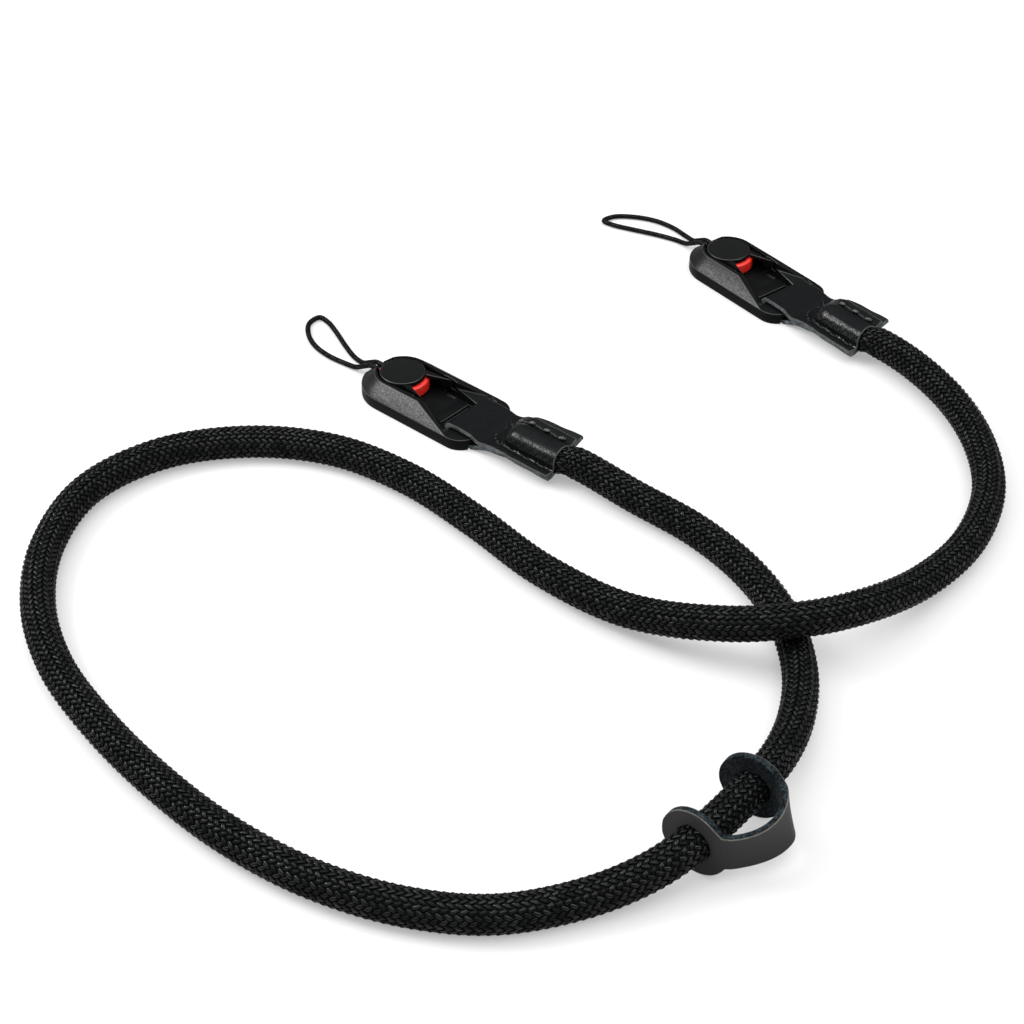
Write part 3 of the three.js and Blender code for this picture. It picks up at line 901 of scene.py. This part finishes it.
def black_leather():
    """Dyed grain leather: matt on the flat strap, and polished on its pebbles and creases
    where it is drawn round the rope, most of all on its near shoulder and along the near
    seam. The dye is rubbed thin beside the cut edges."""
    finish = Finish("black_tab_leather", Specular_IOR_Level=0.045, Coat_Roughness=0.22)
    place = finish.own_place(1000)
    across = finish.axis(place, "Y")
    state = finish.axis(place, "Z")
    drawn = finish.ramp(state, (0, 0), (1, 1))
    rim = finish.ramp(0 - state, (0.25, 0), (0.55, 1))
    grain = finish.node("TexVoronoi", {"feature": "SMOOTH_F1"}, Scale=1.5, Vector=place)
    pebbles = finish.ramp(grain, (0.20, 1), (0.56, 0))
    warp = finish.noise(place, 0.5, 3.0)
    creases = finish.noise(finish.own_place((1500, 650, 0)), 1.0, 4.0, Distortion=0.5)
    worn = finish.ramp(creases, (0.42, 0), (0.60, 1))
    wrinkles = finish.noise(finish.own_place((2800, 1200, 0)), 1.0, 3.0)
    polished = finish.ramp(wrinkles, (0.42, 0), (0.62, 1))
    from_shoulder = across + 2.5
    shoulder = finish.ramp(from_shoulder * from_shoulder * 0.1, (0.02, 1), (0.40, 0))
    from_seam = across + 5.5
    puckers = finish.ramp(from_seam * from_seam * 0.2, (0.02, 1), (0.26, 0))
    dyed = finish.mix(warp, (0.0022, 0.0025, 0.0028), (0.0050, 0.0056, 0.0060))
    finish.shade(Base_Color=finish.mix(rim * (0.3 + 0.7 * warp), dyed, (0.150, 0.150, 0.138)),
                 Roughness=0.50 + 0.08 * warp - 0.06 * drawn,
                 Coat_Weight=drawn * (0.04 + shoulder * (0.06 + 0.75 * polished)
                                      + puckers * (0.2 + 1.9 * worn)))
    finish.bump(pebbles * (0.25 + 0.35 * drawn) + 1.3 * drawn * wrinkles
                + creases * (0.2 + drawn * (0.3 + 2.6 * puckers)), 0.00032, 0.7)
    return finish.material


def raw_edge():
    """The cut edge of the leather: grey fibres, dyed dark blue-grey in patches."""
    finish = Finish("raw_leather_edge", Specular_IOR_Level=0.2)
    fibres = finish.noise(finish.object_place((2600, 2600, 5200)), 1.0, 4.0)
    patches = finish.noise(finish.object_place(), 420.0, 2.0)
    undyed = finish.ramp(fibres * 0.55 + patches * 0.45, (0.38, 0), (0.62, 1))
    finish.shade(Base_Color=finish.mix(undyed, (0.010, 0.014, 0.016), (0.130, 0.150, 0.156)),
                 Roughness=0.75 + 0.2 * fibres)
    finish.bump(fibres, 0.00025, 0.8)
    return finish.material


def undyed_line(name, dark, light):
    """The corner of the grain side, where the cut shows a thin line of undyed leather."""
    finish = Finish(name, Specular_IOR_Level=0.25, Roughness=0.8)
    cloud = finish.noise(finish.object_place(), 900.0, 3.0)
    finish.shade(Base_Color=finish.mix(cloud, dark, light))
    return finish.material


flesh_side = Finish("leather_flesh_side", Specular_IOR_Level=0.2, Roughness=0.95)
flesh_fibres = flesh_side.noise(flesh_side.object_place(), 1400.0, 4.0)
flesh_side.shade(Base_Color=flesh_side.mix(flesh_fibres, (0.0020, 0.0026, 0.0032),
                                           (0.0085, 0.0100, 0.0115)))
flesh_side.bump(flesh_fibres, 0.0002, 0.7)


def flat_grid(columns, rows):
    bpy.ops.object.select_all(action="DESELECT")
    bpy.ops.mesh.primitive_grid_add(x_subdivisions=columns - 1, y_subdivisions=rows - 1, size=1)
    return settle(bpy.context.object)


def leather_wall(sheet, thickness):
    """A wall under a sheet of leather: cut edges all round, and its flesh side within."""
    sheet.vertex_groups.new(name="flesh_side")
    solidify = sheet.modifiers.new("wall", "SOLIDIFY")
    solidify.thickness = thickness
    solidify.offset = -1
    solidify.material_offset_rim = 1
    solidify.material_offset = 2
    solidify.shell_vertex_group = "flesh_side"
    return solidify


def trim_leather(piece, width):
    """Rounds the cut edges. The dye has missed the corner of the grain side, which is pale."""
    ease_edges(piece, width, sharper_than=1.2, smooth_below=0.7)
    flesh = piece.vertex_groups["flesh_side"].index
    for face in piece.data.polygons:
        if face.material_index == 3:
            weights = [sum(g.weight for g in piece.data.vertices[v].groups if g.group == flesh)
                       for v in face.vertices]
            if sum(weights) > 0.5 * len(weights):
                face.material_index = 1


columns = 51
strip = flat_grid(columns, len(strip_stations()))
wall, laid_out = fold_strip(strip, columns)
keep_places(strip, laid_out)
thick = strip.vertex_groups.new(name="wall")
for index, thickness in enumerate(wall):
    thick.add([index], float(thickness / leather), "REPLACE")
cover(strip, black_leather(), raw_edge(), flesh_side.material,
      undyed_line("tab_line", (0.018, 0.018, 0.016), (0.095, 0.092, 0.082)))
solidify = leather_wall(strip, leather)
solidify.vertex_group = "wall"
apply_modifiers(strip)
trim_leather(strip, 0.00022)
fit_both(strip, "sewn_tab", "leather_tab")


# ---- Stitching ----------------------------------------------------------------------
# Waxed grey-black thread, sewn through both layers of each tab in a U round the rope's
# end. Each stitch is a short twisted length that dips into a hole at both ends.

bpy.ops.object.select_all(action="DESELECT")
bpy.ops.mesh.primitive_uv_sphere_add(segments=12, ring_count=15, radius=1,
                                     rotation=(0, math.pi / 2, 0))
stitch = settle(bpy.context.object)
for vertex in stitch.data.vertices:
    reach = vertex.co.x
    angle = math.atan2(vertex.co.z, vertex.co.y)
    swell = (1 - abs(reach) ** 3.2) ** 0.5 * (1 + 0.17 * math.cos(3 * angle - 6.5 * reach))
    vertex.co.y = swell * math.cos(angle)
    vertex.co.z = swell * math.sin(angle)
activate(stitch)
bpy.ops.object.shade_smooth()


def waxed_thread(name, dark, light):
    """Waxed linen thread, with its plies showing."""
    finish = Finish(name, Specular_IOR_Level=0.2)
    plies = finish.noise(finish.own_place((1900, 3000, 3000)), 1.0, 2.0)
    finish.shade(Base_Color=finish.mix(finish.ramp(plies, (0.36, 0), (0.64, 1)), dark, light),
                 Roughness=0.40 + 0.25 * plies)
    return finish.material


# The dark thread is a shaded copy of the grey one: its darker colour is painted shade.
threads = (waxed_thread("grey_waxed_thread", (0.006, 0.006, 0.006), (0.135, 0.133, 0.120)),
           waxed_thread("shaded_waxed_thread", (0.0030, 0.0034, 0.0038), (0.034, 0.036, 0.037)))
stitches = []
for layer in (-1, 1):
    for x, y, turn, length, radius, sunk, thread in seam_stitches():
        copy = twin(stitch)
        for vertex in copy.data.vertices:
            reach, side, up = vertex.co
            lengthwise = reach * (length / 2 + 0.0003)
            sideways = side * radius
            at_x = x + lengthwise * math.cos(turn) - sideways * math.sin(turn)
            at_y = y + lengthwise * math.sin(turn) + sideways * math.cos(turn)
            seat = float(layer_plane(at_x, at_y)) + layer * (seam_groove - sunk)
            arch = 0.8 * radius * (1 - abs(reach) ** 3)
            at_y, above = lean(at_x, at_y, seat + layer * (arch + up * radius))
            vertex.co = (at_x, at_y, max(above, 0.00002))
        cover(copy, threads[thread])
        stitches.append(copy)
bpy.data.objects.remove(stitch)
bpy.ops.object.select_all(action="DESELECT")
for copy in stitches:
    copy.select_set(True)
bpy.context.view_layer.objects.active = stitches[0]
bpy.ops.object.join()
seam = bpy.context.object
edit(seam)
bpy.ops.mesh.normals_make_consistent(inside=False)
done()
fit_both(seam, "seam_stitches", None)


# ---- Keeper -------------------------------------------------------------------------
# A strip of thick suede-backed leather, which slides on the rope to set the loop. It is
# cut with a round lobe at each end, folded outwards, and threaded twice by the rope.

keeper_thickness = 0.0020
lobe_radius = 0.0098
band_half = 0.00525
band_rise = 0.00095
tip_half = 0.0004                 # half width of the strip at its very ends
web = 0.0014                      # how softly the band's upper edge runs into the upper lobe
keeper_hole = 0.0050
crease_reach = 0.0076
crease_ease = 0.0024
bow_swing = math.radians(54)
bow_flare = 0.0036                # how far the band's lower edge stands out from its upper
lower_lobe, upper_lobe = rope_route[9], rope_route[8]
lower_way, upper_way = along(math.radians(-40)), along(math.radians(146))
hole_height = lower_lobe.z


def keeper_line():
    """Points along the middle of the strip, seen from above, a short even step apart."""
    start = lower_lobe - lobe_radius * lower_way
    fold_a = lower_lobe + crease_reach * lower_way
    fold_b = upper_lobe - crease_reach * upper_way
    end = upper_lobe + lobe_radius * upper_way
    chord = fold_b - fold_a
    radius = chord.length / (2 * math.sin(bow_swing))
    inward = Vector((-chord.y, chord.x, 0)).normalized()
    centre = (fold_a + fold_b) / 2 + radius * math.cos(bow_swing) * inward
    first = math.atan2(fold_a.y - centre.y, fold_a.x - centre.x)
    trim = crease_ease / radius
    bow = [centre + radius * along(first + trim + (2 * bow_swing - 2 * trim) * i / 60)
           for i in range(61)]

    def turn(before, corner, after):
        return [before * (1 - t) ** 2 + corner * 2 * t * (1 - t) + after * t ** 2
                for t in (i / 16 for i in range(1, 16))]

    ease_in = fold_a - crease_ease * lower_way
    ease_out = fold_b + crease_ease * upper_way
    rough = [start, ease_in, *turn(ease_in, fold_a, bow[0]), *bow,
             *turn(bow[-1], fold_b, ease_out), ease_out, end]
    places = np.array([point.to_2d() for point in rough])
    reached = np.concatenate([[0], np.cumsum(np.hypot(*np.diff(places, axis=0).T))])
    return places, reached


line_places, line_reached = keeper_line()
strip_length = line_reached[-1]


def on_line(s):
    return np.stack([np.interp(s, line_reached, line_places[:, i]) for i in (0, 1)], axis=-1)


def keeper_reach(s, way):
    """How far the strip's edge lies below (-1) or above (1) the holes, at s along it."""
    from_lobe = np.minimum(np.abs(s - lobe_radius), np.abs(strip_length - lobe_radius - s))
    lobe = np.sqrt(np.maximum(lobe_radius ** 2 - from_lobe ** 2, 0))
    between = (s > lobe_radius) & (s < strip_length - lobe_radius)
    band = np.where(between, band_half + way * band_rise, tip_half)
    blend = np.where(between & (s > strip_length / 2) & (way > 0), web, 1e-9)
    shared = np.maximum(blend - np.abs(lobe - band), 0)
    return np.maximum(lobe, band) + shared ** 2 / (4 * blend)


def keeper_grain():
    """The outer face: dark grey dyed leather, almost smooth, with a very fine grain. It is
    painted paler towards its upper edge and darker towards its lower, as painted light and shade."""
    finish = Finish("keeper_grain_leather", Specular_IOR_Level=0.15)
    place = finish.own_place(1000)
    grain = finish.node("TexVoronoi", {"feature": "SMOOTH_F1"}, Scale=3.4, Vector=place)
    cloud = finish.noise(place, 0.16, 3.0)
    # Painted light and shade: the colour is paler towards the upper edge, darker towards the
    # lower.
    painted_top_light = finish.ramp(finish.axis(place, "Y") * 0.05 + 0.5, (0.25, 0), (0.75, 1))
    finish.shade(Base_Color=finish.mix(0.3 * cloud + 0.7 * painted_top_light,
                                       (0.0095, 0.0093, 0.0100), (0.0290, 0.0282, 0.0304)),
                 Roughness=0.50 + 0.10 * cloud + 0.06 * grain)
    finish.bump(grain, 0.00006, 0.4)
    return finish.material


def suede(name, dark, light):
    """The flesh side and cut edge: a blue-black nap of short fibres, in soft patches."""
    finish = Finish(name, Specular_IOR_Level=0.03, Sheen_Weight=0.03, Sheen_Roughness=0.6,
                    Roughness=0.95)
    nap = finish.noise(finish.object_place(), 1500.0, 4.0)
    patches = finish.noise(finish.object_place(), 330.0, 3.0)
    raised = finish.ramp(nap * 0.7 + patches * 0.3, (0.44, 0), (0.60, 1))
    finish.shade(Base_Color=finish.mix(raised, dark, light))
    finish.bump(nap, 0.0003, 0.9)
    return finish.material


lobe_steps = lobe_radius * (1 - np.cos(np.linspace(0, math.pi / 2, 25)))
band_steps = np.linspace(lobe_radius, strip_length - lobe_radius, 131)
stations = np.concatenate([lobe_steps, band_steps[1:-1], strip_length - lobe_steps[::-1]])
levels = 29
keeper = flat_grid(levels, len(stations))
keeper.name = keeper.data.name = "leather_keeper"
step, level = np.divmod(np.arange(len(keeper.data.vertices)), levels)
s = stations[step]
low, high = -keeper_reach(s, -1), keeper_reach(s, 1)
height = high - (high - low) * level / (levels - 1)
place = on_line(s)
ahead = on_line(np.minimum(s + 0.0003, strip_length)) - on_line(np.maximum(s - 0.0003, 0))
ahead = ahead / np.hypot(*ahead.T)[:, None]
outward = np.stack([ahead[:, 1], -ahead[:, 0]], axis=1)
in_bow = smooth(s, 0.022, 0.042) * smooth(strip_length - s, 0.018, 0.028)
flare = bow_flare * in_bow * (band_half - height) / (2 * band_half)
place = place + outward * (keeper_thickness / 2 + flare)[:, None]
keeper.data.vertices.foreach_set(
    "co", np.concatenate([place, (hole_height + height)[:, None]], axis=1).ravel())
keep_places(keeper, np.stack([s, height, np.zeros_like(s)], axis=1))
keeper.data.update()
cover(keeper, keeper_grain(),
      suede("keeper_cut_edge", (0.0016, 0.0028, 0.0035), (0.021, 0.030, 0.035)),
      suede("keeper_suede", (0.0003, 0.0006, 0.0009), (0.0105, 0.0160, 0.0200)),
      undyed_line("keeper_line", (0.028, 0.028, 0.025), (0.140, 0.135, 0.116)))
leather_wall(keeper, keeper_thickness)
apply_modifiers(keeper)
for middle, before, after in ((lower_lobe, rope_route[8], rope_route[10]),
                              (upper_lobe, rope_route[7], rope_route[9])):
    bpy.ops.object.select_all(action="DESELECT")
    bpy.ops.mesh.primitive_cylinder_add(
        vertices=64, radius=keeper_hole, depth=3.2 * keeper_thickness, location=middle,
        rotation=(after - before).to_track_quat("Z", "Y").to_euler())
    carve(keeper, settle(bpy.context.object))
trim_leather(keeper, 0.00026)
for face in keeper.data.polygons:
    from_holes = min((face.center - hole).length for hole in (lower_lobe, upper_lobe))
    if face.material_index == 3 and from_holes < lobe_radius - 0.003:
        face.material_index = 2
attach(keeper, "root")
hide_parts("keeper")


# ---- Table and light ----------------------------------------------------------------
# A white table that runs out of sight, under a wide soft light overhead, a softbox on the
# left and a weaker one on the right. Low down the room is dim, so that black nylon, leather
# and plastic stay black. The table glows a little, which keeps its shadows pale.

bpy.ops.object.select_all(action="DESELECT")
bpy.ops.mesh.primitive_plane_add(size=12, location=(0, 0, 0))
table = bpy.context.object
table.name = "table"
cover(table, Finish("white_table", Base_Color=(0.400, 0.396, 0.396), Roughness=0.9,
                    Specular_IOR_Level=0.0, Emission_Color=(1, 0.995, 0.995),
                    Emission_Strength=0.36).material)

world = bpy.data.worlds.new("studio")
bpy.context.scene.world = world
world.use_nodes = True
sky = world.node_tree
direction = sky.nodes.new("ShaderNodeTexCoord")
heights = sky.nodes.new("ShaderNodeSeparateXYZ")
overhead = sky.nodes.new("ShaderNodeMapRange")
overhead.interpolation_type = "SMOOTHSTEP"
for end, height_there, strength in (("Min", 0.55, 0.22), ("Max", 0.95, 3.2)):
    overhead.inputs["From " + end].default_value = height_there
    overhead.inputs["To " + end].default_value = strength
sky.links.new(direction.outputs["Generated"], heights.inputs["Vector"])
sky.links.new(heights.outputs["Z"], overhead.inputs["Value"])
sky.links.new(overhead.outputs["Result"], sky.nodes["Background"].inputs["Strength"])
sky.nodes["Background"].inputs["Color"].default_value = (1, 1, 1, 1)


def softbox(name, place, target, width, height, power):
    bpy.ops.object.light_add(type="AREA", location=place)
    light = bpy.context.object
    light.name = name
    light.data.shape = "RECTANGLE"
    light.data.size = width
    light.data.size_y = height
    light.data.energy = power
    light.rotation_euler = (Vector(target) - Vector(place)).to_track_quat("-Z", "Y").to_euler()


softbox("light_left", (-0.82, 0.06, 0.68), (0, 0, 0), 0.5, 0.5, 9)
softbox("light_right", (0.85, -0.45, 0.55), (0, -0.15, 0), 0.5, 0.5, 3)
bpy.context.scene.view_settings.view_transform = "Standard"
